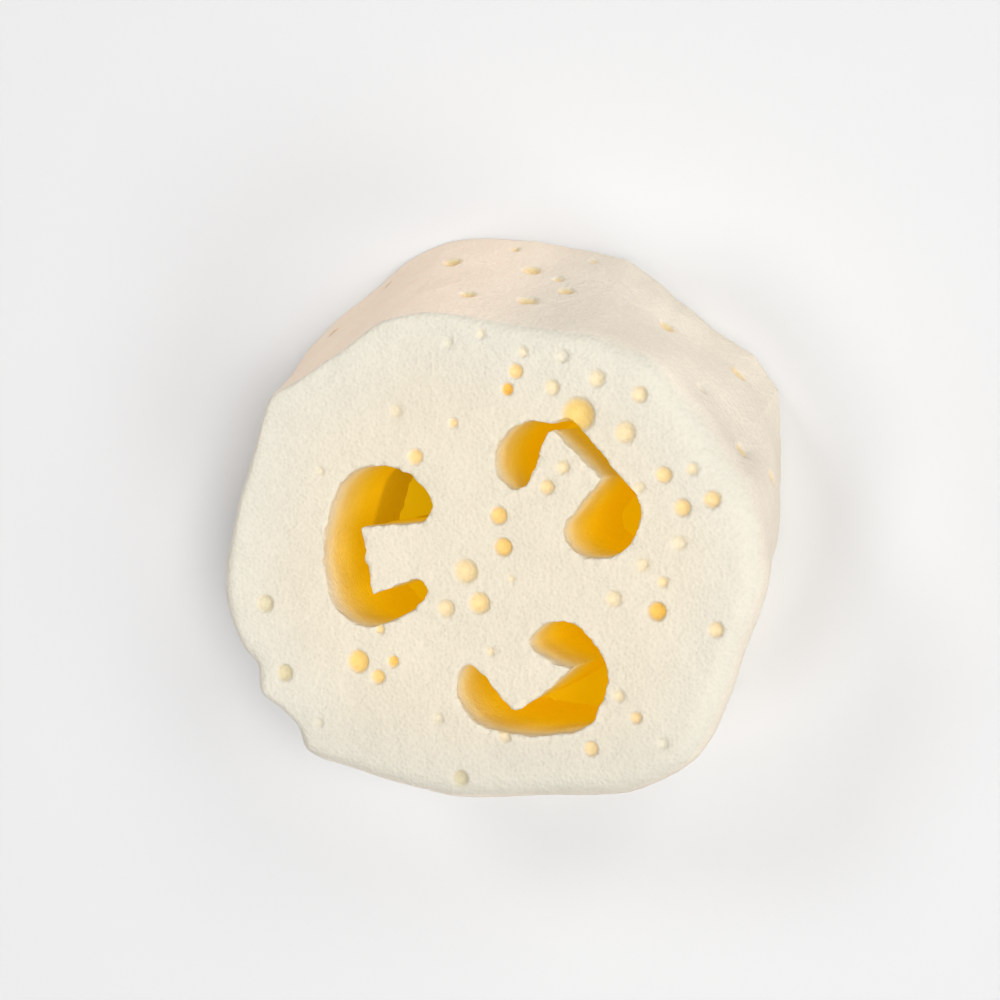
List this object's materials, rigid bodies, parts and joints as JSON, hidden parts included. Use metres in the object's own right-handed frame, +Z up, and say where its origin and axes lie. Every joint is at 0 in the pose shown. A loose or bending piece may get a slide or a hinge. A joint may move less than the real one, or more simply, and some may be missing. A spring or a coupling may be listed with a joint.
{
  "type": "sea sponge",
  "caption": "Thick slab of pale cream sea sponge cut flat above and below, with hooked chambers right through it and round pores over its faces.",
  "frame": {"origin": "on the surface that the sponge lies on, under the middle of its bounding box", "axes": "+Z up, out of the cut face; +Y towards the wall that leans out at its foot; +X to the right when the sponge is seen from above"},
  "size_m": [0.112, 0.1092, 0.04],
  "materials": {
    "sponge": "matte, fine open cells, pale cream and amber down in the chambers"
  },
  "bodies": {
    "root": {"sponge": "sponge"}
  },
  "joints": []
}
